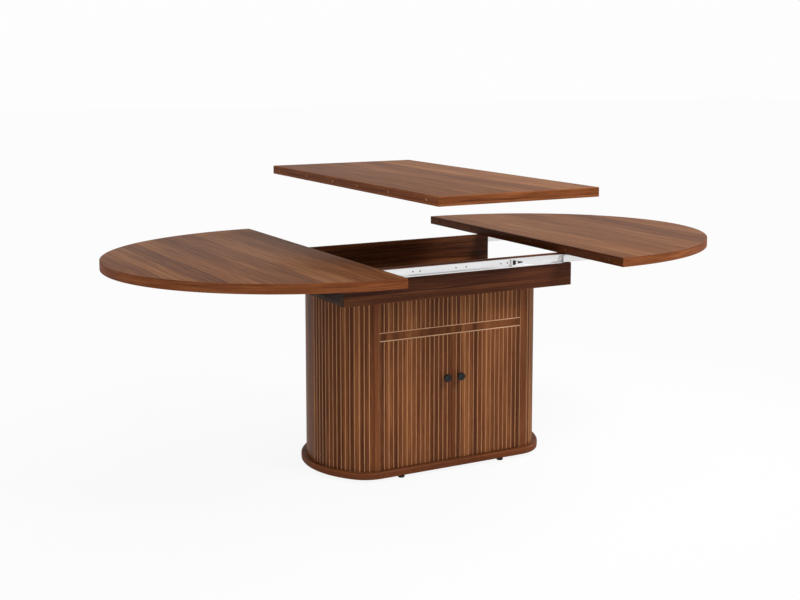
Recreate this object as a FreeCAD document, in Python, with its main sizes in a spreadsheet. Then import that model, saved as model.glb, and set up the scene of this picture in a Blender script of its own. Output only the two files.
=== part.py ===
import FreeCAD, Part
import math
import os
from collections import namedtuple
from FreeCAD import Vector

# Extending dining table: two half-oval tops on telescopic slides, a loose leaf and a fluted cabinet pedestal.
# Millimetres, +Z up, origin on the floor under the middle. +X runs along the table, the doors face -Y.
# The model stands with the halves drawn open, the leaf lifted out and the doors shut.

doc = FreeCAD.newDocument("extending_table")
sheet = doc.addObject("Spreadsheet::Sheet", "Sizes")

driving_sizes = {
    # tops
    "table_height": 740,
    "top_thick": 30,
    "top_depth": 1220,
    "top_length": 1418,
    "leaf_width": 576,
    "half_travel": 388,
    "leaf_lift": 230,
    # dowels along the split edges
    "dowel_dia": 8,
    "dowel_length": 18,
    "dowel_reach": 4,
    "dowel_round": 1.5,
    "dowel_clear": 0.05,
    "dowel_hole_depth": 8,
    "inner_dowel_share": 0.15,
    "middle_dowel_share": 0.5,
    "outer_dowel_share": 0.89,
    # feet and plinth
    "foot_height": 10,
    "foot_dia": 22,
    "foot_chamfer": 2,
    "foot_spread": 384,
    "foot_inset": 17,
    "plinth_thick": 22,
    "plinth_overhang": 18,
    "plinth_round": 5,
    # pedestal outline
    "front_width": 542,
    "body_depth": 416,
    "corner_radius": 100,
    "end_radius": 262,
    "wall_thick": 18,
    "stile_width": 18.5,
    "groove_width": 3,
    "groove_depth": 2,
    "door_slats": 16,
    "end_slats": 15,
    "fluted_length": 246,
    # cabinet boards
    "board_thick": 18,
    "board_clear": 0.2,
    "base_setback": 28,
    "shelf_thick": 16,
    "shelf_height": 236,
    "shelf_setback": 42,
    # front above the doors
    "upper_panel_height": 109.5,
    "band_height": 26,
    "band_chamfer": 2.8,
    # doors and their hardware
    "door_gap": 1.5,
    "door_edge_gap": 1.5,
    "pin_front": 6,
    "pin_edge": 14,
    "pin_dia": 5,
    "pin_seat": 14,
    "pin_reach": 8,
    "pin_clear": 0.05,
    "knob_dia": 27,
    "knob_depth": 24,
    "knob_rim": 3,
    "knob_stem_dia": 11,
    "knob_spread": 52,
    "knob_height": 316,
    "catch_width": 56,
    "catch_depth": 14,
    "catch_drop": 20,
    "catch_rise": 18,
    "strike_thick": 1,
    "strike_width": 18,
    "strike_height": 12,
    "strike_gap": 0.5,
    # frame under the tops
    "frame_length": 862,
    "frame_depth": 552,
    "frame_height": 111,
    "fascia_height": 77,
    "fascia_thick": 13,
    "rail_thick": 12,
    "floor_thick": 12,
    "glide_clear": 0.5,
    # bolts through the frame floor
    "bolt_dia": 6,
    "bolt_head_dia": 12,
    "bolt_head_height": 4,
    "bolt_clear": 0.05,
    "bolt_length_spacing": 300,
    "bolt_depth_spacing": 240,
    # telescopic slides
    "slide_length": 788,
    "slide_height": 29.5,
    "slide_depth": 11.5,
    "slide_wall": 1.2,
    "slide_lip": 1.8,
    "slide_gap": 0.6,
    "member_wall": 1,
    "middle_length": 390,
    "middle_stop": 2,
    "inner_length": 380,
    "inner_stop": 12,
    "slide_hole_dia": 5,
    "centre_hole_spread": 39,
    "outer_hole_spread": 360,
    "next_hole_step": 26,
    # angle brackets under the halves
    "bracket_length": 160,
    "bracket_inset": 60,
    "bracket_wall": 1.5,
    "bracket_flange": 28,
    "bracket_drop": 26,
    # release levers
    "rivet_place": 16,
    "rivet_dia": 4,
    "rivet_end": 0.6,
    "lever_clear": 0.3,
    "lever_bore_clear": 0.05,
    "lever_thick": 5,
    "lever_pad_reach": 12,
    "lever_pad_thick": 7,
    "lever_pad_height": 15,
    "lever_neck_height": 9,
    "lever_finger_reach": 24,
    "lever_tip_height": 3,
    # cuts run this far past the face that they enter
    "cut_overrun": 1,
}

for row, (alias, value) in enumerate(driving_sizes.items(), start=1):
    sheet.set(f"A{row}", alias)
    sheet.set(f"B{row}", str(value))
    sheet.setAlias(f"B{row}", alias)
doc.recompute()

Span = namedtuple("Span", "value text")
pieces = []
up = Vector(0, 0, 1)
quarter_turn = math.pi / 2


def size(alias):
    return float(sheet.get(alias))


def span(*terms):
    # A sum of sheet cells as a number and as an expression: "-" in front subtracts, "/2" behind halves
    total = 0
    text = "0"
    for term in terms:
        name = term.lstrip("-").removesuffix("/2")
        sign = -1 if term.startswith("-") else 1
        share = 2 if term.endswith("/2") else 1
        total += sign * size(name) / share
        text += f" {'-' if sign < 0 else '+'} Sizes.{name} / {share}"
    return Span(total, text)


def negative(length):
    return Span(-length.value, f"-({length.text})")


nothing = Span(0, "0")

# Levels up the table
top_under = span("table_height", "-top_thick")
frame_bottom = span("table_height", "-top_thick", "-frame_height")
plinth_top = span("foot_height", "plinth_thick")
band_top = span("table_height", "-top_thick", "-frame_height", "-upper_panel_height")
band_bottom = span("table_height", "-top_thick", "-frame_height", "-upper_panel_height", "-band_height")
wall_height = span("table_height", "-top_thick", "-frame_height", "-foot_height", "-plinth_thick")

# Pedestal outline: flat front and back, corner arcs, and a flatter arc round each end that meets them
half_front = size("front_width") / 2
half_depth = size("body_depth") / 2
wall = size("wall_thick")
corner = size("corner_radius")
end_radius = size("end_radius")
corner_y = half_depth - corner
end_x = half_front - math.sqrt((end_radius - corner) ** 2 - corner_y**2)
join_angle = math.atan2(corner_y, half_front - end_x)
stile_angle = size("stile_width") / corner


def polar(centre, radius, angle):
    return Vector(centre.x + radius * math.cos(angle), centre.y + radius * math.sin(angle), 0)


def arc(centre, radius, start, end):
    return Part.ArcOfCircle(Part.Circle(centre, up, radius), start, end)


def chain(points):
    return [Part.LineSegment(a, b) for a, b in zip(points, points[1:])]


def loop(points):
    return chain(points + points[:1])


def ring(x, y, radius):
    return Part.Circle(Vector(x, y, 0), up, radius)


def rectangle(x_low, x_high, y_low, y_high):
    corners = [(x_low, y_low), (x_high, y_low), (x_high, y_high), (x_low, y_high)]
    return loop([Vector(x, y, 0) for x, y in corners])


def flipped(edges, side_x=1, side_y=1):
    # The same outline on the other side of the table
    result = []
    for edge in edges:
        if isinstance(edge, Part.LineSegment):
            ends = [Vector(p.x * side_x, p.y * side_y, 0) for p in (edge.StartPoint, edge.EndPoint)]
            result.append(Part.LineSegment(*ends))
            continue
        start, end = edge.FirstParameter, edge.LastParameter
        if side_x < 0:
            start, end = math.pi - end, math.pi - start
        if side_y < 0:
            start, end = -end, -start
        centre = Vector(edge.Center.x * side_x, edge.Center.y * side_y, 0)
        result.append(arc(centre, edge.Radius, start, end))
    return result


def named(item, label):
    item.Label = label
    pieces.append(item)
    return item


def sketch_in(body, plane, offset, edges):
    sketch = body.newObject("Sketcher::SketchObject", "Outline")
    support = [f for f in body.Origin.OriginFeatures if f.Role == plane][0]
    sketch.AttachmentSupport = [(support, "")]
    sketch.MapMode = "FlatFace"
    sketch.setExpression("AttachmentOffset.Base.z", offset.text)
    for edge in edges:
        sketch.addGeometry(edge, False)
    return sketch


def padded(body, plane, offset, length, edges, backwards=False):
    pad = body.newObject("PartDesign::Pad", "Pad")
    pad.Profile = sketch_in(body, plane, offset, edges)
    pad.setExpression("Length", length.text)
    pad.Reversed = backwards
    doc.recompute()
    return body


def pocketed(body, plane, offset, depth, edges, backwards=False):
    before = body.Shape.Volume
    pocket = body.newObject("PartDesign::Pocket", "Pocket")
    pocket.Profile = sketch_in(body, plane, offset, edges)
    pocket.setExpression("Length", depth.text)
    pocket.Reversed = backwards
    doc.recompute()
    if body.Shape.Volume >= before:
        raise RuntimeError(f"a pocket in {body.Label} cuts nothing")
    return body


def new_body(label):
    return named(doc.addObject("PartDesign::Body", label), label)


def board(label, bottom, thickness, edges):
    return padded(new_body(label), "XY_Plane", bottom, thickness, edges)


def bar(label, start, length, edges):
    # A section in Y and Z, drawn out along X
    return padded(new_body(label), "YZ_Plane", start, length, edges)


def box(label, starts, lengths):
    item = doc.addObject("Part::Box", label)
    for name, length in zip(("Length", "Width", "Height"), lengths):
        item.setExpression(name, length.text)
    for name, start in zip("xyz", starts):
        item.setExpression(f"Placement.Base.{name}", start.text)
    return named(item, label)


def turned(profile):
    # A solid of revolution about Z from (radius, height) points
    points = [Vector(radius, 0, height) for radius, height in profile]
    return Part.Face(Part.makePolygon(points + points[:1])).revolve(Vector(0, 0, 0), up, 360)


def group(label, shape, places):
    # Identical pieces as separate solids under one name
    item = doc.addObject("Part::Feature", label)
    item.Shape = Part.makeCompound([shape.translated(Vector(*place)) for place in places])
    return named(item, label)


# Outlines of the pedestal


def plate_outline(offset):
    # The whole oval outline, moved outward by offset
    depth = half_depth + offset
    corner_r = corner + offset
    front = chain([Vector(-half_front, -depth, 0), Vector(half_front, -depth, 0)])
    end = [
        arc(Vector(half_front, -corner_y, 0), corner_r, -quarter_turn, -join_angle),
        arc(Vector(end_x, 0, 0), end_radius + offset, -join_angle, join_angle),
        arc(Vector(half_front, corner_y, 0), corner_r, join_angle, quarter_turn),
    ]
    return front + end + flipped(front, side_y=-1) + flipped(end, side_x=-1)


end_path = [
    (Vector(half_front, -corner_y, 0), corner, stile_angle - quarter_turn, -join_angle),
    (Vector(end_x, 0, 0), end_radius, -join_angle, join_angle),
    (Vector(half_front, corner_y, 0), corner, join_angle, quarter_turn - stile_angle),
]
end_length = sum(radius * (last - first) for _, radius, first, last in end_path)


def path_point(distance, inset=0):
    for centre, radius, first, last in end_path:
        stretch = radius * (last - first)
        if distance <= stretch:
            return polar(centre, radius - inset, first + distance / radius)
        distance -= stretch
    return polar(centre, radius - inset, last)


def path_arcs(start, end, inset=0):
    edges = []
    passed = 0
    for centre, radius, first, last in end_path:
        stretch = radius * (last - first)
        low = max(start, passed)
        high = min(end, passed + stretch)
        if high > low:
            angles = [first + (distance - passed) / radius for distance in (low, high)]
            edges.append(arc(centre, radius - inset, *angles))
        passed += stretch
    return edges


def end_panel_outline():
    # Slats of equal width from the front stile to the seam at the middle of the end, each with half a V groove
    # at both edges, and plain veneer from the seam to the back
    depth = size("groove_depth")
    lip = size("groove_width") / 2
    slats = int(size("end_slats"))
    seam = size("fluted_length")
    pitch = seam / slats
    edges = []
    for slat in range(slats):
        low = slat * pitch
        high = low + pitch
        edges += chain([path_point(low, depth), path_point(low + lip)])
        edges += path_arcs(low + lip, high - lip)
        edges += chain([path_point(high - lip), path_point(high, depth)])
    edges += chain([path_point(seam, depth), path_point(seam + lip)])
    edges += path_arcs(seam + lip, end_length)
    edges += chain([path_point(end_length), path_point(end_length, wall)])
    edges += path_arcs(0, end_length, wall)
    edges += chain([path_point(0, wall), path_point(0, depth)])
    return edges


def stile_outline():
    centre = Vector(half_front, -corner_y, 0)
    first, last = -quarter_turn, stile_angle - quarter_turn
    outer = arc(centre, corner, first, last)
    inner = arc(centre, corner - wall, first, last)
    sides = [[polar(centre, radius, angle) for radius in (corner, corner - wall)] for angle in (first, last)]
    return [outer, inner] + chain(sides[0]) + chain(sides[1])


slat_pitch = half_front / size("door_slats")


def fluted_points(x_low, x_high):
    # Along the front face from x_low to x_high, dipping into a V groove at every slat line between them
    lip = size("groove_width") / 2
    count = int(size("door_slats"))
    lines = [k * slat_pitch for k in range(-count, count + 1)]
    points = [Vector(x_low, -half_depth, 0)]
    for x in lines:
        if x_low + lip < x < x_high - lip:
            points.append(Vector(x - lip, -half_depth, 0))
            points.append(Vector(x, size("groove_depth") - half_depth, 0))
            points.append(Vector(x + lip, -half_depth, 0))
    return points + [Vector(x_high, -half_depth, 0)]


def fixed_panel_outline():
    back = [Vector(half_front, wall - half_depth, 0), Vector(-half_front, wall - half_depth, 0)]
    return loop(fluted_points(-half_front, half_front) + back)


def back_panel_outline():
    return rectangle(-half_front, half_front, half_depth - wall, half_depth)


# Feet and plinth

foot_radius = size("foot_dia") / 2
foot_chamfer = size("foot_chamfer")
foot_height = size("foot_height")
foot_x = size("foot_spread") / 2
foot_y = half_depth + size("plinth_overhang") - size("foot_inset")
foot_profile = [
    (0, 0),
    (foot_radius - foot_chamfer, 0),
    (foot_radius, foot_chamfer),
    (foot_radius, foot_height),
    (0, foot_height),
]
group("feet", turned(foot_profile), [(x, y, 0) for x in (-foot_x, foot_x) for y in (-foot_y, foot_y)])

pin_x = half_front - size("door_edge_gap") - size("pin_edge")
pin_y = size("pin_front") - half_depth
pin_hole = size("pin_dia") / 2 + size("pin_clear")
pin_holes = [ring(side * pin_x, pin_y, pin_hole) for side in (-1, 1)]

plinth = board("plinth", span("foot_height"), span("plinth_thick"), plate_outline(size("plinth_overhang")))
rim = [
    f"Edge{number}"
    for number, edge in enumerate(plinth.Shape.Edges, start=1)
    if edge.BoundBox.ZLength < size("plinth_round")
]
plinth_pad = plinth.Tip
rounding = plinth.newObject("PartDesign::Fillet", "Rounding")
rounding.Base = (plinth_pad, rim)
rounding.setExpression("Radius", "Sizes.plinth_round")
doc.recompute()
pocketed(plinth, "XY_Plane", plinth_top, span("pin_reach"), pin_holes)

# Cabinet walls

for side, side_name in ((-1, "left"), (1, "right")):
    board(f"{side_name}_end_panel", plinth_top, wall_height, flipped(end_panel_outline(), side))
    for face, face_name in ((1, "front"), (-1, "back")):
        board(f"{face_name}_{side_name}_stile", plinth_top, wall_height, flipped(stile_outline(), side, face))

board("back_panel", plinth_top, wall_height, back_panel_outline())
board("upper_front_panel", band_top, span("upper_panel_height"), fixed_panel_outline())

chamfer = size("band_chamfer")
band_section = [
    (-half_depth, band_bottom.value),
    (wall - half_depth, band_bottom.value),
    (wall - half_depth, band_top.value),
    (chamfer - half_depth, band_top.value),
    (-half_depth, band_top.value - chamfer),
]
band_edges = loop([Vector(y, z, 0) for y, z in band_section])
band = bar("band_rail", span("-front_width/2"), span("front_width"), band_edges)
pocketed(band, "XY_Plane", band_bottom, span("pin_reach"), pin_holes, backwards=True)

# Cabinet boards

bolt_x = size("bolt_length_spacing")
bolt_y = size("bolt_depth_spacing") / 2
bolt_places = [(x, y) for x in (-bolt_x, 0, bolt_x) for y in (-bolt_y, bolt_y)]
bolt_radius = size("bolt_dia") / 2
bolt_holes = [ring(x, y, bolt_radius + size("bolt_clear")) for x, y in bolt_places]

inner_outline = plate_outline(-wall - size("board_clear"))
top_bottom = span("table_height", "-top_thick", "-frame_height", "-board_thick")
board("cabinet_top", top_bottom, span("board_thick"), inner_outline + bolt_holes)


def set_back_board(label, bottom, thickness, setback):
    # A board that fills the cabinet but stops this far behind the front
    plate = board(f"{label}_plate", bottom, thickness, inner_outline)
    zone = box(
        f"{label}_zone",
        (span("-frame_length/2"), span("-body_depth/2", setback), bottom),
        (span("frame_length"), span("body_depth", f"-{setback}"), thickness),
    )
    pieces.remove(plate)
    pieces.remove(zone)
    kept = named(doc.addObject("Part::Common", label), label)
    kept.Base = plate
    kept.Tool = zone


set_back_board("cabinet_base", plinth_top, span("board_thick"), "base_setback")
set_back_board("shelf", span("shelf_height"), span("shelf_thick"), "shelf_setback")

# Doors: inset, on pivot pins set so near the front that the outer corner swings clear of the stile

door_bottom = span("foot_height", "plinth_thick", "door_gap")
door_top = Span(band_bottom.value - size("door_gap"), f"{band_bottom.text} - Sizes.door_gap")
door_height = Span(door_top.value - door_bottom.value, f"{door_top.text} - ({door_bottom.text})")
knob_radius = size("knob_dia") / 2
stem_radius = size("knob_stem_dia") / 2
knob_depth = size("knob_depth")
knob_rim = size("knob_rim")
knob_profile = [
    Vector(0, 0, 0),
    Vector(stem_radius, 0, 0),
    Vector(stem_radius, -knob_depth / 2, 0),
    Vector(knob_radius, knob_rim - knob_depth, 0),
    Vector(knob_radius - knob_rim, -knob_depth, 0),
    Vector(0, -knob_depth, 0),
]


door_inner = size("door_gap") / 2
door_outer = half_front - size("door_edge_gap")
door_wedge_overrun = size("cut_overrun")


def door_outline():
    back_y = wall - half_depth
    back = [Vector(door_outer, back_y, 0), Vector(door_inner, back_y, 0)]
    return loop(fluted_points(door_inner, door_outer) + back)


def door_top_wedge():
    # The front edge along a door's top is cut off at a slant, as the band's is
    front = -half_depth - door_wedge_overrun
    low = door_top.value - chamfer - door_wedge_overrun
    high = door_top.value + door_wedge_overrun
    back = chamfer - half_depth + door_wedge_overrun
    return loop([Vector(front, low, 0), Vector(back, high, 0), Vector(front, high, 0)])


for side, side_name in ((-1, "left"), (1, "right")):
    door = board(f"{side_name}_door", door_bottom, door_height, flipped(door_outline(), side))
    wedge_start = span("front_width/2") if side > 0 else nothing
    pocketed(door, "YZ_Plane", wedge_start, span("front_width/2"), door_top_wedge())
    pin_seat = [ring(side * pin_x, pin_y, pin_hole)]
    pocketed(door, "XY_Plane", door_top, span("pin_seat"), pin_seat)
    pocketed(door, "XY_Plane", door_bottom, span("pin_seat"), pin_seat, backwards=True)

    # Each pin stops short of the bottom of its hole by the door gap
    pin_shape = Part.makeCylinder(size("pin_dia") / 2, size("pin_seat") + size("pin_reach"))
    lower_pin = door_bottom.value - size("pin_reach")
    upper_pin = door_top.value - size("pin_seat")
    group(f"{side_name}_door_pins", pin_shape, [(side * pin_x, pin_y, z) for z in (lower_pin, upper_pin)])

    knob = new_body(f"{side_name}_knob")
    turn = knob.newObject("PartDesign::Revolution", "Turn")
    turn.Profile = sketch_in(knob, "XY_Plane", nothing, loop(knob_profile))
    turn.ReferenceAxis = (turn.Profile[0], ["V_Axis"])
    turn.Angle = 360
    knob_x = span("knob_spread/2") if side > 0 else span("-knob_spread/2")
    knob.setExpression("Placement.Base.x", knob_x.text)
    knob.setExpression("Placement.Base.y", "-Sizes.body_depth / 2")
    knob.setExpression("Placement.Base.z", "Sizes.knob_height")

    strike_x = span("catch_width/2", "-strike_width")
    strike_start = strike_x if side > 0 else span("-catch_width/2")
    strike_level = Span(
        door_top.value - size("strike_height"),
        f"{door_top.text} - Sizes.strike_height",
    )
    box(
        f"{side_name}_strike_plate",
        (strike_start, span("-body_depth/2", "wall_thick"), strike_level),
        (span("strike_width"), span("strike_thick"), span("strike_height")),
    )

# One double magnetic catch on the back of the band rail, its face just behind both strike plates
catch_back = wall - half_depth
catch_face = catch_back + size("strike_thick") + size("strike_gap")
catch_section = [
    (catch_back, band_bottom.value),
    (catch_back, band_bottom.value + size("catch_rise")),
    (catch_back + size("catch_depth"), band_bottom.value + size("catch_rise")),
    (catch_back + size("catch_depth"), band_bottom.value - size("catch_drop")),
    (catch_face, band_bottom.value - size("catch_drop")),
    (catch_face, band_bottom.value),
]
catch_edges = loop([Vector(y, z, 0) for y, z in catch_section])
bar("magnetic_catch", span("-catch_width/2"), span("catch_width"), catch_edges)

# Frame: a floor between two inner rails, and lower fascias outside them that leave a ledge for the slides

inner_half = size("frame_depth") / 2 - size("fascia_thick") - size("rail_thick")
half_frame = size("frame_length") / 2
floor_outline = rectangle(-half_frame, half_frame, -inner_half, inner_half)
board("frame_floor", frame_bottom, span("floor_thick"), floor_outline + bolt_holes)

fascia_size = (span("frame_length"), span("fascia_thick"), span("fascia_height"))
rail_size = (span("frame_length"), span("rail_thick"), span("frame_height", "-glide_clear"))
fascia_outer = span("frame_depth/2")
fascia_inner = span("frame_depth/2", "-fascia_thick")
rail_inner = span("frame_depth/2", "-fascia_thick", "-rail_thick")
frame_start = span("-frame_length/2")
box("front_fascia", (frame_start, negative(fascia_outer), frame_bottom), fascia_size)
box("back_fascia", (frame_start, fascia_inner, frame_bottom), fascia_size)
box("front_inner_rail", (frame_start, negative(fascia_inner), frame_bottom), rail_size)
box("back_inner_rail", (frame_start, rail_inner, frame_bottom), rail_size)

head_radius = size("bolt_head_dia") / 2
bolt_grip = size("floor_thick") + size("board_thick")
bolt_profile = [
    (0, -bolt_grip),
    (bolt_radius, -bolt_grip),
    (bolt_radius, 0),
    (head_radius, 0),
    (head_radius, size("bolt_head_height")),
    (0, size("bolt_head_height")),
]
bolt_level = frame_bottom.value + size("floor_thick")
group("frame_bolts", turned(bolt_profile), [(x, y, bolt_level) for x, y in bolt_places])

# Telescopic slides: sections are drawn as (depth out from the inner rail, height above the fascia)

slide_y = fascia_inner.value
slide_z = frame_bottom.value + size("fascia_height")
slide_wall = size("slide_wall")
slide_gap = size("slide_gap")
member_wall = size("member_wall")
slide_depth = size("slide_depth")
slide_height = size("slide_height")
slide_middle = slide_z + slide_height / 2
middle_low = slide_wall + slide_gap
inner_low = middle_low + member_wall + slide_gap
inner_face = slide_depth + slide_gap
bracket_top = top_under.value - slide_z


def lipped_channel(depth, height, thick, lip):
    # Lower half of the channel from its web, then the upper half mirrored
    flange = [(0, 0), (depth, 0), (depth, thick + lip)]
    lower = flange + [(depth - thick, thick + lip), (depth - thick, thick), (thick, thick)]
    upper = [(d, height - h) for d, h in reversed(lower)]
    return lower + upper


def open_channel(web, edge, low, thick):
    # A plain channel from its web's outer face to the edges of its flanges
    inside = thick if edge > web else -thick
    lower = [(web, low), (edge, low), (edge, low + thick), (web + inside, low + thick)]
    upper = [(d, slide_height - h) for d, h in reversed(lower)]
    return lower + upper


fixed_section = lipped_channel(slide_depth, slide_height, slide_wall, size("slide_lip"))
middle_section = open_channel(middle_low, slide_depth - slide_wall - slide_gap, middle_low, member_wall)
inner_section = open_channel(inner_face, inner_low, inner_low, member_wall)
bracket_wall = size("bracket_wall")
bracket_section = [
    (inner_face, bracket_top - size("bracket_drop")),
    (inner_face + bracket_wall, bracket_top - size("bracket_drop")),
    (inner_face + bracket_wall, bracket_top - bracket_wall),
    (inner_face + size("bracket_flange"), bracket_top - bracket_wall),
    (inner_face + size("bracket_flange"), bracket_top),
    (inner_face, bracket_top),
]

rivet_radius = size("rivet_dia") / 2
web_face = middle_low + member_wall
lever_pad = size("lever_pad_reach")
lever_upper = [
    (-lever_pad, size("lever_pad_height") / 2),
    (size("lever_pad_thick") - lever_pad, size("lever_pad_height") / 2),
    (size("lever_pad_thick") - lever_pad, size("lever_neck_height") / 2),
    (size("lever_finger_reach"), size("lever_tip_height") / 2),
]
lever_profile = lever_upper + [(along, -rise) for along, rise in reversed(lever_upper)]


def section_at(section, face):
    return loop([Vector(face * (slide_y + depth), slide_z + height, 0) for depth, height in section])


def from_middle(side, start, length):
    # A stretch along X that starts this far from the middle, on the left or on the right
    return start if side > 0 else negative(Span(start.value + length.value, f"{start.text} + {length.text}"))


def add_lever(middle, face, face_name, middle_start):
    # Release lever on a rivet near the inner end of a right-hand middle member
    rivet_x = middle_start.value + size("rivet_place")
    rivet_start = Span(
        -face * (slide_y + middle_low),
        f"{-face} * ({fascia_inner.text} + Sizes.slide_wall + Sizes.slide_gap)",
    )
    rivet_length = span("member_wall", "lever_clear", "lever_thick", "rivet_end")
    rivet_ring = [ring(rivet_x, slide_middle, rivet_radius)]
    padded(middle, "XZ_Plane", rivet_start, rivet_length, rivet_ring, backwards=face > 0)

    lever_points = [Vector(rivet_x + along, slide_middle + rise, 0) for along, rise in lever_profile]
    lever_bore = ring(rivet_x, slide_middle, rivet_radius + size("lever_bore_clear"))
    lever_start = Span(
        -face * (slide_y + web_face + size("lever_clear")),
        f"{rivet_start.text} - {face} * (Sizes.member_wall + Sizes.lever_clear)",
    )
    lever = new_body(f"right_{face_name}_lever")
    lever_edges = loop(lever_points) + [lever_bore]
    padded(lever, "XZ_Plane", lever_start, span("lever_thick"), lever_edges, backwards=face > 0)


for face, face_name in ((-1, "front"), (1, "back")):
    rail_edges = section_at(fixed_section, face)
    rail = bar(f"{face_name}_slide_rail", span("-slide_length/2"), span("slide_length"), rail_edges)
    # Screw holes come in pairs at the middle and towards each end of the web
    outer_hole = size("outer_hole_spread") / 2
    hole_places = [size("centre_hole_spread") / 2, outer_hole - size("next_hole_step"), outer_hole]
    hole_radius = size("slide_hole_dia") / 2
    holes = [ring(side * x, slide_middle, hole_radius) for side in (-1, 1) for x in hole_places]
    web_plane = Span(-face * slide_y, f"{-face} * ({fascia_inner.text})")
    web_cut = span("slide_wall", "cut_overrun")
    pocketed(rail, "XZ_Plane", web_plane, web_cut, holes, backwards=face < 0)

    for side, side_name in ((-1, "left"), (1, "right")):
        middle_start = span("middle_stop", "half_travel/2")
        middle_span = span("middle_length")
        middle_name = f"{side_name}_{face_name}_middle_slide"
        start = from_middle(side, middle_start, middle_span)
        middle = bar(middle_name, start, middle_span, section_at(middle_section, face))
        if side > 0:
            add_lever(middle, face, face_name, middle_start)

        inner_start = span("inner_stop", "half_travel")
        inner_span = span("inner_length")
        start = from_middle(side, inner_start, inner_span)
        bar(f"{side_name}_{face_name}_inner_slide", start, inner_span, section_at(inner_section, face))

        bracket_start = span("inner_stop", "half_travel", "inner_length", "-bracket_inset", "-bracket_length")
        bracket_span = span("bracket_length")
        start = from_middle(side, bracket_start, bracket_span)
        bar(f"{side_name}_{face_name}_bracket", start, bracket_span, section_at(bracket_section, face))

# Tops: half ovals about their split edges, and the leaf between them

half_top_depth = size("top_depth") / 2
dowel_places = [half_top_depth * size(f"{name}_dowel_share") for name in ("inner", "middle", "outer")]
dowel_ys = [side * y for y in dowel_places for side in (-1, 1)]
dowel_radius = size("dowel_dia") / 2
hole_radius = dowel_radius + size("dowel_clear")
dowel_seat = span("dowel_length", "-dowel_reach")


def half_oval(split_x):
    # The longer half axis leads, so the curve starts a quarter turn later where the top is deeper than long
    reach = size("top_length") / 2
    centre = Vector(split_x, 0, 0)
    along = centre + Vector(reach, 0, 0)
    across = centre + Vector(0, half_top_depth, 0)
    if reach >= half_top_depth:
        curve = Part.ArcOfEllipse(Part.Ellipse(along, across, centre), -quarter_turn, quarter_turn)
    else:
        inward = centre - Vector(reach, 0, 0)
        curve = Part.ArcOfEllipse(Part.Ellipse(across, inward, centre), -math.pi, 0)
    return [curve, Part.LineSegment(across, centre - Vector(0, half_top_depth, 0))]


def edge_holes(level):
    return [ring(y, level + size("top_thick") / 2, hole_radius) for y in dowel_ys]


def dowels(label, edge_x, level):
    start = Vector(-size("dowel_reach"), 0, 0)
    pin = Part.makeCylinder(dowel_radius, size("dowel_length"), start, Vector(1, 0, 0))
    tip = min(pin.Edges, key=lambda edge: edge.BoundBox.XMax)
    pin = pin.makeFillet(size("dowel_round"), [tip])
    return group(label, pin, [(edge_x, y, level + size("top_thick") / 2) for y in dowel_ys])


split = size("half_travel")
right_top = board("right_top", top_under, span("top_thick"), half_oval(split))
pocketed(right_top, "YZ_Plane", span("half_travel"), dowel_seat, edge_holes(top_under.value), backwards=True)
dowels("right_top_dowels", split, top_under.value)

left_top = new_body("left_top")
padded(left_top, "XY_Plane", top_under, span("top_thick"), half_oval(split))
left_top.Placement.Rotation = FreeCAD.Rotation(up, 180)
left_holes = edge_holes(top_under.value)
pocketed(left_top, "YZ_Plane", span("half_travel"), span("dowel_hole_depth"), left_holes, backwards=True)

leaf_bottom = span("table_height", "-top_thick", "leaf_lift")
half_leaf = size("leaf_width") / 2
leaf_edges = rectangle(-half_leaf, half_leaf, -half_top_depth, half_top_depth)
leaf = board("leaf", leaf_bottom, span("top_thick"), leaf_edges)
pocketed(leaf, "YZ_Plane", span("-leaf_width/2"), dowel_seat, edge_holes(leaf_bottom.value), backwards=True)
pocketed(leaf, "YZ_Plane", span("leaf_width/2"), span("dowel_hole_depth"), edge_holes(leaf_bottom.value))
dowels("leaf_dowels", -half_leaf, leaf_bottom.value)

# Check every object, then write each piece to its own file

doc.recompute()
for item in doc.Objects:
    if "Invalid" in item.State or "Error" in item.State:
        raise RuntimeError(f"{item.Label} failed: {item.State}")
for item in pieces:
    if item.Shape.isNull() or not item.Shape.isValid():
        raise RuntimeError(f"{item.Label} has no valid shape")

os.makedirs("parts", exist_ok=True)
for item in pieces:
    item.Shape.exportStep(f"parts/{item.Label}.step")
print(f"{len(pieces)} pieces written")
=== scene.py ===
import math
import bmesh
import bpy
from mathutils import Matrix, Vector


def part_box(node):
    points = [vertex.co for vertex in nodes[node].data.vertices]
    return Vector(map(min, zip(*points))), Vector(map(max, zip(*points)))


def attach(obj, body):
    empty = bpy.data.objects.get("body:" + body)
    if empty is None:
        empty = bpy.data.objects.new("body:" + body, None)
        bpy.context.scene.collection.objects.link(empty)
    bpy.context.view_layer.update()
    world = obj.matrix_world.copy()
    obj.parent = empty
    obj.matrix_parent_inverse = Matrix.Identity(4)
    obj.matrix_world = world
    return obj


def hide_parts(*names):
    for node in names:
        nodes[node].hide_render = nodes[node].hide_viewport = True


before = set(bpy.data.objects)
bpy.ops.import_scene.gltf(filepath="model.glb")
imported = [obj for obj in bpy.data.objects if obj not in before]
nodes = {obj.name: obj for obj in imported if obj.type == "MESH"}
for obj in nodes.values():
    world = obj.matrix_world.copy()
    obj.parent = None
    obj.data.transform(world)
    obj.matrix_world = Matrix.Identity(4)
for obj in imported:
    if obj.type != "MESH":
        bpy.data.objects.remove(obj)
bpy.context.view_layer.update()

quarter = math.pi / 2
print("frame loaded with", len(nodes), "CAD nodes")


# materials

def tone(red, green, blue):  # screen colour 0-255 to the linear colour that a socket takes
    def linear(c):
        c /= 255
        return c / 12.92 if c <= 0.04045 else ((c + 0.055) / 1.055) ** 2.4
    return (linear(red), linear(green), linear(blue), 1)


def newFinish(name):
    material = bpy.data.materials.new(name)
    material.use_nodes = True
    tree = material.node_tree
    return material, tree, tree.nodes["Principled BSDF"]


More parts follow.
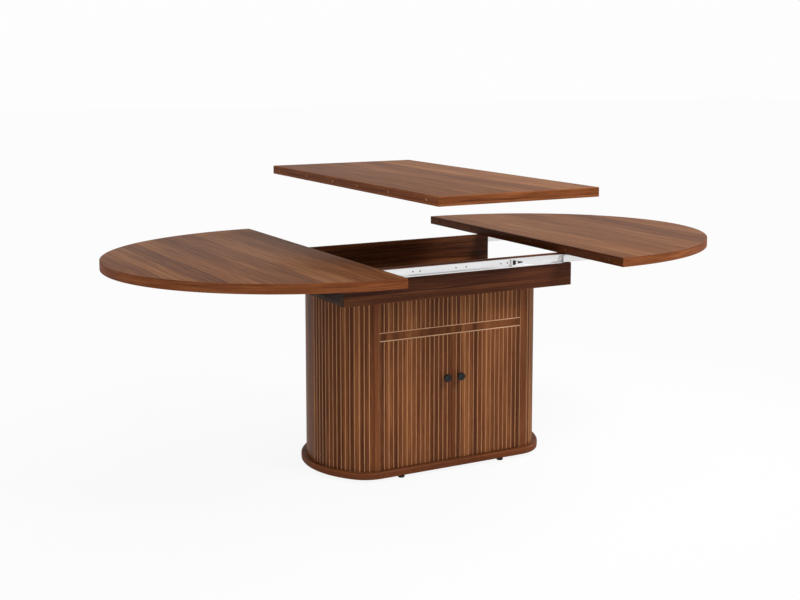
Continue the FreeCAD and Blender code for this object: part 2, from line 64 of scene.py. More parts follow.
def addNode(tree, kind, **values):  # a node with its properties or inputs set
    node = tree.nodes.new(kind)
    for key, value in values.items():
        if key in node.inputs:
            node.inputs[key].default_value = value
        else:
            setattr(node, key, value)
    return node


def calc(tree, operation, first, second):  # one math step on sockets or numbers
    node = addNode(tree, "ShaderNodeMath", operation=operation)
    for place, value in enumerate((first, second)):
        if isinstance(value, (int, float)):
            node.inputs[place].default_value = value
        else:
            tree.links.new(value, node.inputs[place])
    return node.outputs[0]


def mapped(tree, value, limits, **settings):  # a value carried over from one range to another
    node = addNode(tree, "ShaderNodeMapRange", **settings)
    for socket, limit in limits.items():
        node.inputs[socket].default_value = limit
    tree.links.new(value, node.inputs["Value"])
    return node.outputs[0]


def oneAxis(tree, vector, axis):  # X, Y or Z of a vector socket
    node = addNode(tree, "ShaderNodeSeparateXYZ")
    tree.links.new(vector, node.inputs[0])
    return node.outputs[axis]


def stretchedNoise(tree, coords, along, scale, stretch, detail, rough):
    shape = [scale, scale, scale]
    shape[along] = scale * stretch  # long along the grain
    place = addNode(tree, "ShaderNodeMapping")
    place.inputs["Scale"].default_value = shape
    tree.links.new(coords, place.inputs["Vector"])
    noise = addNode(tree, "ShaderNodeTexNoise", Scale=1.0, Detail=detail, Roughness=rough)
    tree.links.new(place.outputs[0], noise.inputs["Vector"])
    return noise.outputs["Fac"]


def grainSurface(tree, shader, grain, height, spec):  # roughness and bump that follow the grain
    limits = {"To Min": spec["rough"] - spec["smoother"], "To Max": spec["rough"] + spec["rougher"]}
    tree.links.new(mapped(tree, grain, limits), shader.inputs["Roughness"])
    bump = addNode(tree, "ShaderNodeBump", Strength=spec["bump"], Distance=spec["bumpDepth"])
    tree.links.new(height, bump.inputs["Height"])
    tree.links.new(bump.outputs[0], shader.inputs["Normal"])
    shader.inputs["Specular IOR Level"].default_value = spec["shine"]


def woodFinish(name, spec):
    material, tree, shader = newFinish(name)
    link = tree.links.new
    along = spec["along"]
    source = addNode(tree, "ShaderNodeTexCoord")
    coords = source.outputs[spec["coords"]]
    fineStretch = spec["stretch"] * spec["fineStretch"]
    poreScale = spec["fine"] * spec["poreScale"]
    broad = stretchedNoise(tree, coords, along, spec["broad"], spec["stretch"], *spec["broadNoise"])
    fine = stretchedNoise(tree, coords, along, spec["fine"], fineStretch, *spec["fineNoise"])
    pore = stretchedNoise(tree, coords, along, poreScale, spec["poreStretch"], *spec["poreNoise"])

    # veneer strips of uneven width, their joints bent a little by the broad figure
    across = calc(tree, "MULTIPLY", oneAxis(tree, coords, spec["across"]), spec["strips"])
    wobble = calc(tree, "MULTIPLY", broad, spec["wobble"])
    strips = addNode(tree, "ShaderNodeTexVoronoi", voronoi_dimensions="1D", feature="F1", Scale=1.0)
    link(calc(tree, "ADD", across, wobble), strips.inputs["W"])
    stripTone = addNode(tree, "ShaderNodeSeparateColor")
    link(strips.outputs["Color"], stripTone.inputs[0])

    darkPlace, middle, lightPlace = spec["rampPlaces"]
    shares = ((stripTone.outputs[0], "stripShare"), (broad, "broadShare"), (fine, "fineShare"))
    swings = [calc(tree, "MULTIPLY", calc(tree, "SUBTRACT", part, middle), spec[share])
              for part, share in shares]
    figure = swings[0]
    for swing in (*swings[1:], middle):
        figure = calc(tree, "ADD", figure, swing)
    dark, mid, light = (tone(*colour) for colour in spec["tones"])
    ramp = addNode(tree, "ShaderNodeValToRGB")
    stops = ramp.color_ramp.elements
    stops[0].position, stops[0].color = darkPlace, dark
    stops[1].position, stops[1].color = lightPlace, light
    stops.new(middle).color = mid
    link(figure, ramp.inputs[0])

    # short dark pores along the grain
    poreStart, poreFull = spec["poreRange"]
    poreMask = mapped(tree, pore, {"From Min": poreStart, "From Max": poreFull, "To Max": spec["pores"]})
    pored = addNode(tree, "ShaderNodeMix", data_type="RGBA", blend_type="MULTIPLY")
    layers = {socket.name: socket for socket in pored.inputs if socket.type == "RGBA"}
    link(ramp.outputs[0], layers["A"])
    layers["B"].default_value = tone(*spec["poreTone"])
    link(poreMask, pored.inputs["Factor"])
    colour = next(socket for socket in pored.outputs if socket.type == "RGBA")
    if spec["endGrain"] < 1:  # ends cut across the grain are darker
        facing = calc(tree, "ABSOLUTE", oneAxis(tree, source.outputs["Normal"], along), 0)
        atEnd = calc(tree, "GREATER_THAN", facing, spec["endFacing"])
        shade = calc(tree, "SUBTRACT", 1, calc(tree, "MULTIPLY", atEnd, 1 - spec["endGrain"]))
        darker = addNode(tree, "ShaderNodeVectorMath", operation="SCALE")
        link(colour, darker.inputs["Vector"])
        link(shade, darker.inputs["Scale"])
        colour = darker.outputs["Vector"]
    link(colour, shader.inputs["Base Color"])

    dips = calc(tree, "MULTIPLY", poreMask, spec["poreDip"])
    grainSurface(tree, shader, fine, calc(tree, "SUBTRACT", fine, dips), spec)
    shader.inputs["Coat Weight"].default_value = spec["coat"]  # thin satin lacquer
    shader.inputs["Coat Roughness"].default_value = spec["coatRough"]
    return material


woodBase = {
    "coords": "UV", "along": 1, "across": 0,  # grain along V, strips side by side along U
    "stretch": 0.06, "broad": 24, "broadNoise": (3, 0.55),  # noise detail and roughness
    "fine": 260, "fineStretch": 0.35, "fineNoise": (4, 0.65),
    "strips": 26, "wobble": 0.5, "stripShare": 0.45, "broadShare": 0.7, "fineShare": 0.9,
    "rampPlaces": (0.15, 0.5, 0.85),  # where the dark, middle and light tones stand
    "pores": 0.45, "poreTone": (120, 92, 78), "poreRange": (0.58, 0.72), "poreDip": 0.6,
    "poreScale": 2.6, "poreStretch": 0.03, "poreNoise": (2, 0.5),
    "endGrain": 1, "endFacing": 0.7,
    "rough": 0.62, "smoother": 0.06, "rougher": 0.08, "bump": 0.25, "bumpDepth": 0.0004,
    "shine": 0.0, "coat": 0.15, "coatRough": 0.28,
}
topBase = dict(woodBase, coords="Object", strips=13, broad=15, fine=130, stripShare=0.38, broadShare=0.62,
               fineShare=1.15, coat=0.17, coatRough=0.26)
bandBase = dict(woodBase, along=0, across=1, strips=120, broad=90, fine=320, stripShare=0.3, fineShare=1.1)
frameBase = dict(woodBase, coords="Object", along=0, across=2, strips=60, broad=34, fine=240, stripShare=0.4,
                 fineShare=1.15, endGrain=0.4)
boardBase = dict(woodBase, strips=14, broad=16, fine=220, tones=((76, 44, 26), (102, 62, 38), (128, 82, 52)))
coreBase = dict(woodBase, stripShare=0.1, broadShare=0.3, fineShare=0.5, pores=0.2, rough=0.7)
dowelBase = dict(woodBase, coords="Object", along=0, across=1, fine=700, stripShare=0.1, pores=0.3, rough=0.6)
woodSpecs = {
    "topVeneer": dict(topBase, tones=((72, 41, 24), (103, 63, 37), (131, 87, 53))),
    "leafVeneer": dict(topBase, tones=((77, 45, 27), (110, 69, 42), (139, 94, 60))),
    "edgeBand": dict(bandBase, tones=((68, 32, 13), (112, 61, 31), (142, 86, 48))),
    "leftEdgeBand": dict(bandBase, tones=((62, 28, 11), (103, 55, 27), (131, 77, 42))),
    # the edge band again, darkened as painted shade on the split edges
    "shadedSplitBand": dict(bandBase, tones=((44, 20, 9), (78, 40, 20), (102, 58, 31))),
    "flutedVeneer": dict(
        woodBase, strips=46, broad=26, fine=300, stripShare=0.42, broadShare=0.75, fineShare=1.15,
        tones=((62, 31, 15), (97, 54, 28), (134, 84, 47))),
    "trimVeneer": dict(woodBase, stripShare=0.2, tones=((82, 42, 21), (108, 60, 33), (130, 78, 45))),
    "plainVeneer": dict(
        woodBase, stripShare=0.25, coat=0.28, coatRough=0.3,
        tones=((74, 41, 22), (101, 60, 34), (124, 77, 45))),
    "plinthVeneer": dict(
        woodBase, along=0, across=1, strips=60, broad=60, fine=380, stripShare=0.2,
        tones=((74, 37, 18), (102, 55, 29), (128, 74, 42))),
    "apronVeneer": dict(frameBase, tones=((42, 19, 10), (76, 40, 22), (106, 62, 35))),
    "railVeneer": dict(frameBase, tones=((52, 25, 13), (92, 51, 29), (124, 75, 44))),
    # the frame's floor board, darker than the other boards as painted shade of the frame's inside
    "innerVeneer": dict(
        woodBase, coords="Object", along=0, across=1, strips=18, broad=22, fine=240, stripShare=0.4,
        tones=((48, 29, 18), (75, 48, 32), (101, 67, 46))),
    "boardVeneer": dict(boardBase, coords="Object", along=0, across=1),
    "linerVeneer": boardBase,
    # pale core in the grooves, partly the core's own colour and partly a painted highlight of the lit flanks
    "grooveCoreHighlight": dict(coreBase, tones=((168, 122, 86), (188, 141, 102), (204, 158, 117))),
    # the core colour made paler still, as a painted highlight on the upward chamfers
    "slantCoreHighlight": dict(coreBase, tones=((206, 160, 122), (220, 177, 139), (232, 192, 154))),
    "dowelWood": dict(dowelBase, tones=((124, 84, 58), (148, 106, 76), (168, 126, 94))),
    "dowelBrown": dict(dowelBase, tones=((78, 46, 28), (96, 60, 38), (114, 74, 48))),
}
woods = {name: woodFinish(name, spec) for name, spec in woodSpecs.items()}


def metalFinish(name, spec):
    material, tree, shader = newFinish(name)
    coords = addNode(tree, "ShaderNodeTexCoord").outputs["Object"]
    brushed = stretchedNoise(tree, coords, spec["along"], spec["grain"], spec["stretch"], *spec["noise"])
    ramp = addNode(tree, "ShaderNodeValToRGB")
    for stop, colour in zip(ramp.color_ramp.elements, spec["tones"]):
        stop.color = tone(*colour)
    tree.links.new(brushed, ramp.inputs[0])
    tree.links.new(ramp.outputs[0], shader.inputs["Base Color"])
    grainSurface(tree, shader, brushed, brushed, spec)
    shader.inputs["Metallic"].default_value = spec["metallic"]
    return material


metalBase = {
    "along": 0, "grain": 500, "stretch": 0.02, "noise": (3, 0.6),  # noise detail and roughness
    "rough": 0.3, "smoother": 0.06, "rougher": 0.1, "bump": 0.05, "bumpDepth": 0.0002,
    "metallic": 0.0, "shine": 0.5,
}
metalSpecs = {
    "brightZinc": dict(metalBase, metallic=1.0, tones=((226, 226, 227), (246, 246, 246))),
    "paleCage": dict(metalBase, grain=700, rough=0.5, shine=0.3, tones=((222, 222, 221), (238, 238, 237))),
    "plainSteel": dict(
        metalBase, rough=0.36, bump=0.08, metallic=1.0, tones=((158, 160, 163), (190, 192, 195))),
    "blackSatin": dict(
        metalBase, grain=900, rough=0.24, bump=0.04, shine=0.22, tones=((14, 15, 16), (24, 25, 26))),
    "blackMould": dict(
        metalBase, grain=1400, rough=0.55, bump=0.15, shine=0.2, tones=((20, 20, 20), (34, 34, 34))),
}
metals = {name: metalFinish(name, spec) for name, spec in metalSpecs.items()}

# the inside of the dowel holes, darkened as painted shade of the recess
holeShadeSpec = {"tone": (60, 38, 26), "rough": 0.9}
holeShade, _, holeShadeShader = newFinish("dowelHoleShade")
holeShadeShader.inputs["Base Color"].default_value = tone(*holeShadeSpec["tone"])
holeShadeShader.inputs["Roughness"].default_value = holeShadeSpec["rough"]
print("materials made:", len(woods) + len(metals) + 1)


# mesh helpers

meshing = {"sharpAngle": 28, "mitreLimit": 0.3, "onAxis": 1e-6, "onPlane": 1e-6, "returnEdge": 0.004}
boardFace, boardEdge, shadedSplitEdge = range(3)  # places in a board's list of finishes


def polar(centre, radius, angle):
    return centre[0] + radius * math.cos(angle), centre[1] + radius * math.sin(angle)


def addObject(name, data):
    thing = bpy.data.objects.new(name, data)
    bpy.context.scene.collection.objects.link(thing)
    return thing


def meshPiece(name, builder, finishes, body, node):
    mesh = bpy.data.meshes.new(name)
    builder.normal_update()
    bmesh.ops.recalc_face_normals(builder, faces=builder.faces)
    for face in builder.faces:
        face.smooth = True
    builder.to_mesh(mesh)
    builder.free()
    mesh.set_sharp_from_angle(angle=math.radians(meshing["sharpAngle"]))
    for finish in finishes:
        mesh.materials.append(finish)
    piece = addObject(name, mesh)
    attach(piece, body)
    if node:
        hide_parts(node)
    return piece


def offsetLoop(points, inset):  # a closed outline moved inward, corners mitred
    moved = []
    count = len(points)
    for i, point in enumerate(points):
        before = (point - points[i - 1]).normalized()
        after = (points[(i + 1) % count] - point).normalized()
        inward = Vector((-after.y, after.x))
        bisector = (Vector((-before.y, before.x)) + inward).normalized()
        spread = max(bisector.dot(inward), meshing["mitreLimit"])
        moved.append(point + bisector * (inset / spread))
    return moved


def roundedBoard(points, low, high, radius, steps):  # anticlockwise outline, arrises rounded all round
    builder = bmesh.new()
    uv = builder.loops.layers.uv.new("UVMap")
    count = len(points)
    lengths = [0]
    for i in range(count):
        lengths.append(lengths[-1] + (points[(i + 1) % count] - points[i]).length)
    rings = []
    for step in range(steps + 1):
        angle = quarter * step / steps
        rings.append((radius * (1 - math.sin(angle)), low + radius * (1 - math.cos(angle))))
    rings += [(inset, high - (z - low)) for inset, z in reversed(rings)]
    layers = []
    for inset, z in rings:
        layers.append([builder.verts.new((p.x, p.y, z)) for p in offsetLoop(points, inset)])
    for lower, upper in zip(layers, layers[1:]):
        for i in range(count):
            j = (i + 1) % count
            face = builder.faces.new((lower[i], lower[j], upper[j], upper[i]))
            face.material_index = boardEdge
            for loop, u in zip(face.loops, (lengths[i], lengths[i + 1], lengths[i + 1], lengths[i])):
                loop[uv].uv = (u, loop.vert.co.z)
    for layer in (layers[0], layers[-1]):
        face = builder.faces.new(layer)
        face.material_index = boardFace
        for loop in face.loops:
            loop[uv].uv = loop.vert.co.xy
    return builder


def turnedPiece(profile, segments):  # (radius, height) points spun round Z
    builder = bmesh.new()
    angles = [2 * math.pi * i / segments for i in range(segments)]
    rings = []
    for radius, height in profile:
        if radius < meshing["onAxis"]:
            rings.append([builder.verts.new((0, 0, height))])
        else:
            rings.append([builder.verts.new((*polar((0, 0), radius, a), height)) for a in angles])
    for lower, upper in zip(rings, rings[1:]):
        for i in range(segments):
            j = (i + 1) % segments
            if len(lower) == 1:
                builder.faces.new((lower[0], upper[j], upper[i]))
            elif len(upper) == 1:
                builder.faces.new((lower[i], lower[j], upper[0]))
            else:
                builder.faces.new((lower[i], lower[j], upper[j], upper[i]))
    return builder


def wallPiece(outline, low, high):  # closed outline of (x, y, u, finish of the side that starts there)
    builder = bmesh.new()
    uv = builder.loops.layers.uv.new("UVMap")
    lower = [builder.verts.new((x, y, low)) for x, y, _, _ in outline]
    upper = [builder.verts.new((x, y, high)) for x, y, _, _ in outline]
    count = len(outline)
    for i in range(count):
        j = (i + 1) % count
        face = builder.faces.new((lower[i], lower[j], upper[j], upper[i]))
        face.material_index = outline[i][3]
        length = (Vector(outline[j][:2]) - Vector(outline[i][:2])).length
        start, end = outline[i][2], outline[j][2]
        if abs(abs(end - start) - length) > meshing["returnEdge"]:
            end = start + length  # a return edge keeps its own length in the grain
        for loop, u in zip(face.loops, (start, end, end, start)):
            loop[uv].uv = (u, loop.vert.co.z)
    for ring in (lower, upper):
        face = builder.faces.new(ring)
        for loop in face.loops:
            loop[uv].uv = loop.vert.co.xy
    return builder


# tops and leaf

topShape = {
    "arris": 0.0016, "arrisSteps": 4, "arcSteps": 120, "splitGap": 0.0001, "splitSlack": 1.01,
    "holeRadius": 0.0042, "holeDepth": 0.008, "holeSegments": 32, "dowelSpacing": 0.02,
}


def halfOval(node, side):
    low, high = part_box(node)
    gap = topShape["splitGap"]  # the closed halves meet without rubbing
    split = (low.x if side > 0 else high.x) + side * gap
    reach = high.x - low.x - gap
    depth = (high.y - low.y) / 2
    points = []
    for step in range(topShape["arcSteps"] + 1):
        angle = -quarter + math.pi * step / topShape["arcSteps"]
        points.append(Vector((split + side * reach * math.cos(angle), side * depth * math.sin(angle))))
    builder = roundedBoard(points, low.z, high.z, topShape["arris"], topShape["arrisSteps"])
    nearSplit = topShape["arris"] * topShape["splitSlack"]
    for face in builder.faces:  # the straight edge that meets the leaf, darkened as painted shade where the leaf and the other half hide the light
        if all(abs(vert.co.x - split) < nearSplit for vert in face.verts):
            face.material_index = shadedSplitEdge
    return builder


rightFinishes = [woods["topVeneer"], woods["edgeBand"], woods["shadedSplitBand"]]
leftFinishes = [woods["topVeneer"], woods["leftEdgeBand"], woods["shadedSplitBand"]]
leftTop = meshPiece("leftTopBoard", halfOval("left_top", -1), leftFinishes, "left_half", "left_top")
meshPiece("rightTopBoard", halfOval("right_top", 1), rightFinishes, "right_half", "right_top")

leafLow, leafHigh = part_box("leaf")
leafCorners = [
    Vector((leafLow.x, leafLow.y)), Vector((leafHigh.x, leafLow.y)),
    Vector((leafHigh.x, leafHigh.y)), Vector((leafLow.x, leafHigh.y)),
]
leafBuilder = roundedBoard(leafCorners, leafLow.z, leafHigh.z, topShape["arris"], topShape["arrisSteps"])
leafFinishes = [woods["leafVeneer"], woods["edgeBand"]]
leaf = meshPiece("leafBoard", leafBuilder, leafFinishes, "loose_leaf", "leaf")


def dowelRows(node):  # Y places of the dowels in a node, and the height of their middle
    low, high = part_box(node)
    ys = sorted({round(v.co.y, 3) for v in nodes[node].data.vertices})  # to whole millimetres
    groups = []
    for y in ys:
        if not groups or y - groups[-1][-1] > topShape["dowelSpacing"]:
            groups.append([])
        groups[-1].append(y)
    return [(g[0] + g[-1]) / 2 for g in groups], (low.z + high.z) / 2


def cutHoles(piece, places):  # round dowel holes into a board's edge, along X
    radius, depth = topShape["holeRadius"], topShape["holeDepth"]
    turn = Matrix.Rotation(quarter, 4, "Y")
    tool = bmesh.new()
    for place in places:
        bmesh.ops.create_cone(tool, cap_ends=True, segments=topShape["holeSegments"], radius1=radius,
                              radius2=radius, depth=depth * 2, matrix=Matrix.Translation(place) @ turn)
    toolMesh = bpy.data.meshes.new("holeTool")
    tool.to_mesh(toolMesh)
    tool.free()
    # the hole walls take the painted shade
    toolMesh.materials.append(holeShade)
    cutter = addObject("holeTool", toolMesh)
    piece.data.materials.append(holeShade)
    cut = piece.modifiers.new("holes", "BOOLEAN")
    cut.operation = "DIFFERENCE"
    cut.solver = "EXACT"
    cut.material_mode = "TRANSFER"
    cut.object = cutter
    bpy.context.view_layer.update()
    result = bpy.data.meshes.new_from_object(piece.evaluated_get(bpy.context.evaluated_depsgraph_get()))
    piece.modifiers.clear()
    piece.data = result
    bpy.data.objects.remove(cutter)


holeYs, topMiddle = dowelRows("right_top_dowels")
leafMiddle = dowelRows("leaf_dowels")[1]
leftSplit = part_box("left_top")[1].x
cutHoles(leftTop, [(leftSplit, y, topMiddle) for y in holeYs])
cutHoles(leaf, [(leafHigh.x, y, leafMiddle) for y in holeYs])
print("tops made")


# fluted pedestal

pedestal = {
    "halfFront": 0.271, "halfDepth": 0.208, "corner": 0.1, "endRadius": 0.262, "wall": 0.018,
    "stileWidth": 0.0185, "stileSteps": 8, "stileChamfer": 0.0016,
    "groove": 0.003, "grooveDepth": 0.002, "doorSlats": 16, "endSlats": 15, "flutedLength": 0.246,
    "arcStep": 0.004, "innerStep": 0.008, "doorGap": 0.0015, "doorEdgeGap": 0.0015, "doorChamfer": 0.0028,
    "backShift": 5.3,  # the back and its stiles are cut from another sheet
}
halfFront, halfDepth, wall = pedestal["halfFront"], pedestal["halfDepth"], pedestal["wall"]
innerFace = wall - halfDepth
cornerY = halfDepth - pedestal["corner"]
endX = halfFront - math.sqrt((pedestal["endRadius"] - pedestal["corner"]) ** 2 - cornerY ** 2)
joinAngle = math.atan2(cornerY, halfFront - endX)
stileAngle = pedestal["stileWidth"] / pedestal["corner"]
endPath = [  # centre, radius, first and last angle of the arcs round the right end
    ((halfFront, -cornerY), pedestal["corner"], stileAngle - quarter, -joinAngle),
    ((endX, 0), pedestal["endRadius"], -joinAngle, joinAngle),
    ((halfFront, cornerY), pedestal["corner"], joinAngle, quarter - stileAngle),
]
endLength = sum(radius * (last - first) for _, radius, first, last in endPath)

panelNames = ("flutedVeneer", "grooveCoreHighlight", "linerVeneer", "slantCoreHighlight", "plainVeneer")
panelFinishes = [woods[name] for name in panelNames]
veneerSide, grooveSide, linerSide, slantSide, plainSide = range(5)  # places in that list
stileFinishes = [woods["trimVeneer"], woods["linerVeneer"], woods["grooveCoreHighlight"]]
backStileFinishes = [woods["plainVeneer"], woods["linerVeneer"]]
stileFace, stileLiner, stileSlant = range(3)  # places in those lists


def pathPoint(distance, inset=0):
    for centre, radius, first, last in endPath:
        stretch = radius * (last - first)
        if distance <= stretch:
            break
        distance -= stretch
    else:
        distance = stretch
    return polar(centre, radius - inset, first + distance / radius)


def endOutline():
    points = []
    uStart = halfFront + pedestal["stileWidth"]  # the veneer runs on from the front round the corner
    seam, depth = pedestal["flutedLength"], pedestal["grooveDepth"]
    pitch = seam / pedestal["endSlats"]
    lip = pedestal["groove"] / 2

    def add(distance, finish, inset=0):
        points.append((*pathPoint(distance, inset), uStart + distance, finish))

    for slat in range(pedestal["endSlats"]):
        low, high = slat * pitch, (slat + 1) * pitch
        add(low, grooveSide if slat else veneerSide, depth)  # the half groove beside the stile is veneered
        steps = max(2, round((pitch - 2 * lip) / pedestal["arcStep"]))
        for step in range(steps):
            add(low + lip + (pitch - 2 * lip) * step / steps, veneerSide)
        add(high - lip, grooveSide)
    add(seam, grooveSide, depth)
    plain = endLength - seam - lip  # plain veneer from the seam to the back
    plainSteps = round(plain / pedestal["arcStep"])
    for step in range(plainSteps):
        add(seam + lip + plain * step / plainSteps, plainSide)
    add(endLength, linerSide)
    innerSteps = round(endLength / pedestal["innerStep"])
    for step in range(innerSteps + 1):
        add(endLength * (1 - step / innerSteps), linerSide, wall)
    return points


def stileOutline(slanted):
    corner, chamfer, steps = pedestal["corner"], pedestal["stileChamfer"], pedestal["stileSteps"]
    centre = (halfFront, -cornerY)
    angles = [-quarter + stileAngle * i / steps for i in range(steps + 1)]

    def arc(radius, turns, finish):
        return [(*polar(centre, radius, a), halfFront + (a + quarter) * corner, finish) for a in turns]

    outer = arc(corner, angles[:-1], stileFace) + arc(corner, angles[-1:], stileLiner)
    inner = arc(corner - wall, reversed(angles), stileLiner)
    if not slanted:
        return outer + inner
    outer[0] = (halfFront + chamfer, -halfDepth, halfFront + chamfer, stileFace)
    return outer + inner + [(halfFront, chamfer - halfDepth, halfFront, stileSlant)]  # pale slanted edge: the core colour with a painted highlight


def flutedLine(xLow, xHigh):  # the grooved face of a front panel
    lip, slats = pedestal["groove"] / 2, pedestal["doorSlats"]
    pitch = halfFront / slats
    points = [(xLow, -halfDepth, xLow, veneerSide)]
    for k in range(1 - slats, slats):
        x = k * pitch
        if xLow + lip < x < xHigh - lip:
            points.append((x - lip, -halfDepth, x - lip, grooveSide))
            points.append((x, pedestal["grooveDepth"] - halfDepth, x, grooveSide))
            points.append((x + lip, -halfDepth, x + lip, veneerSide))
    return points + [(xHigh, -halfDepth, xHigh, linerSide)]


def fixedOutline():
    return flutedLine(-halfFront, halfFront) + [
        (halfFront, innerFace, halfFront, linerSide), (-halfFront, innerFace, -halfFront, linerSide)]


def backOutline():
    return [(-halfFront, -halfDepth, -halfFront, plainSide), (halfFront, -halfDepth, halfFront, linerSide),
            (halfFront, innerFace, halfFront, linerSide), (-halfFront, innerFace, -halfFront, linerSide)]


def doorOutline():
    inner, outer = pedestal["doorGap"] / 2, halfFront - pedestal["doorEdgeGap"]
    return flutedLine(inner, outer) + [
        (outer, innerFace, outer, linerSide), (inner, innerFace, inner, veneerSide)]


def turnedOver(outline, sideX=1, sideY=1, grainShift=0):
    return [(x * sideX, y * sideY, u * sideX + grainShift, finish) for x, y, u, finish in outline]


def slantFront(builder, top, chamfer):  # the front edge along the top is cut off, down to the pale core, painted paler still as a painted highlight
    cut = bmesh.ops.bisect_plane(
        builder, geom=builder.verts[:] + builder.edges[:] + builder.faces[:], dist=meshing["onPlane"],
        plane_co=(0, chamfer - halfDepth, top), plane_no=(0, -1, 1), clear_outer=True)
    rim = [item for item in cut["geom_cut"] if isinstance(item, bmesh.types.BMEdge)]
    for face in bmesh.ops.contextual_create(builder, geom=rim)["faces"]:
        face.material_index = slantSide


def wallFromNode(name, node, outline, finishes, body):
    low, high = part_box(node)
    meshPiece(name, wallPiece(outline, low.z, high.z), finishes, body, node)


backOutlineTurned = turnedOver(backOutline(), 1, -1, pedestal["backShift"])
wallFromNode("upperFrontPanel", "upper_front_panel", fixedOutline(), panelFinishes, "base")
wallFromNode("backPanel", "back_panel", backOutlineTurned, panelFinishes, "base")
for side, sideName in ((-1, "left"), (1, "right")):
    wallFromNode(f"{sideName}EndPanel", f"{sideName}_end_panel", turnedOver(endOutline(), side),
                 panelFinishes, "base")
    doorLow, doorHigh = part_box(f"{sideName}_door")
    doorBuilder = wallPiece(turnedOver(doorOutline(), side), doorLow.z, doorHigh.z)
    slantFront(doorBuilder, doorHigh.z, pedestal["doorChamfer"])
    meshPiece(f"{sideName}DoorPanel", doorBuilder, panelFinishes,
              f"{sideName}_door_set", f"{sideName}_door")
    for face, faceName, finishes, shift in (
            (1, "front", stileFinishes, 0), (-1, "back", backStileFinishes, pedestal["backShift"])):
        wallFromNode(f"{faceName}{sideName.capitalize()}Stile", f"{faceName}_{sideName}_stile",
                     turnedOver(stileOutline(face > 0), side, face, shift), finishes, "base")

bandShape = {"chamfer": 0.0028}
bandLow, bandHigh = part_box("band_rail")
bandSection = [  # (y, z, finish of the side that starts there)
    (bandLow.y, bandLow.z, linerSide), (bandHigh.y, bandLow.z, linerSide), (bandHigh.y, bandHigh.z, linerSide),
    # the chamfer takes the pale core with a painted highlight
    (bandLow.y + bandShape["chamfer"], bandHigh.z, slantSide),
    (bandLow.y, bandHigh.z - bandShape["chamfer"], veneerSide),
]
bandBuilder = bmesh.new()
bandUv = bandBuilder.loops.layers.uv.new("UVMap")
bandEnds = [[bandBuilder.verts.new((x, y, z)) for y, z, _ in bandSection] for x in (bandLow.x, bandHigh.x)]
for i, (_, _, finish) in enumerate(bandSection):
    j = (i + 1) % len(bandSection)
    face = bandBuilder.faces.new((bandEnds[0][i], bandEnds[0][j], bandEnds[1][j], bandEnds[1][i]))
    face.material_index = finish
for ring in bandEnds:
    bandBuilder.faces.new(ring).material_index = linerSide
for face in bandBuilder.faces:
    for loop in face.loops:
        loop[bandUv].uv = (loop.vert.co.x, loop.vert.co.z)
meshPiece("bandRail", bandBuilder, panelFinishes, "base", "band_rail")

plinthShape = {"overhang": 0.018, "arcSteps": 24, "round": 0.005, "roundSteps": 6}


def plinthOutline():
    offset, steps = plinthShape["overhang"], plinthShape["arcSteps"]
    corner, end = pedestal["corner"] + offset, pedestal["endRadius"] + offset
    arcs = [
        ((halfFront, -cornerY), corner, -quarter, -joinAngle), ((endX, 0), end, -joinAngle, joinAngle),
        ((halfFront, cornerY), corner, joinAngle, quarter),
    ]
    right = []
    for number, (centre, radius, first, last) in enumerate(arcs):
        for step in range(1 if number else 0, steps + 1):  # an arc starts where the last one ended
            right.append(Vector(polar(centre, radius, first + (last - first) * step / steps)))
    return right + [Vector((-p.x, -p.y)) for p in right]


plinthLow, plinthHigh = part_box("plinth")
plinthRound = plinthShape["round"], plinthShape["roundSteps"]
plinthBuilder = roundedBoard(plinthOutline(), plinthLow.z, plinthHigh.z, *plinthRound)
plinthFinishes = [woods["boardVeneer"], woods["plinthVeneer"]]
meshPiece("plinthBoard", plinthBuilder, plinthFinishes, "base", "plinth")
print("pedestal made")


# knobs and feet

knobShape = {
    "segments": 40,
    "profile": [  # shank, flare, rounded rim and dished face
        (0, 0), (0.0055, 0), (0.0054, 0.003), (0.0054, 0.008), (0.0062, 0.0105), (0.0088, 0.0128),
        (0.0117, 0.0148), (0.0131, 0.0168), (0.0135, 0.0188), (0.0133, 0.0212), (0.0126, 0.0229),
        (0.0114, 0.0239), (0.0102, 0.024), (0.0088, 0.0234), (0.006, 0.0225), (0.003, 0.022), (0, 0.0219)],
}
for sideName in ("left", "right"):
    low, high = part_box(f"{sideName}_knob")
    builder = turnedPiece(knobShape["profile"], knobShape["segments"])
    shankEnd = Matrix.Translation(((low.x + high.x) / 2, high.y, (low.z + high.z) / 2))
    builder.transform(shankEnd @ Matrix.Rotation(quarter, 4, "X"))
    meshPiece(f"{sideName}Knob", builder, [metals["blackSatin"]],
              f"{sideName}_door_set", f"{sideName}_knob")

footShape = {
    "segments": 40,
    "profile": [(0, 0), (0.0087, 0), (0.0103, 0.0006), (0.011, 0.0022), (0.011, 0.0068), (0.0103, 0.0078),
                (0.008, 0.008), (0.008, 0.01), (0, 0.01)],
}
footLow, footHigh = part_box("feet")
footRadius = max(radius for radius, _ in footShape["profile"])
footBuilder = bmesh.new()
for x in (footLow.x + footRadius, footHigh.x - footRadius):
    for y in (footLow.y + footRadius, footHigh.y - footRadius):
        one = turnedPiece(footShape["profile"], footShape["segments"])
        one.transform(Matrix.Translation((x, y, footLow.z)))
        part = bpy.data.meshes.new("footPart")
        one.to_mesh(part)
        one.free()
        footBuilder.from_mesh(part)
        bpy.data.meshes.remove(part)
meshPiece("feetBlack", footBuilder, [metals["blackMould"]], "base", "feet")
print("knobs and feet made")


# CAD nodes that stay, with their finishes and softened edges

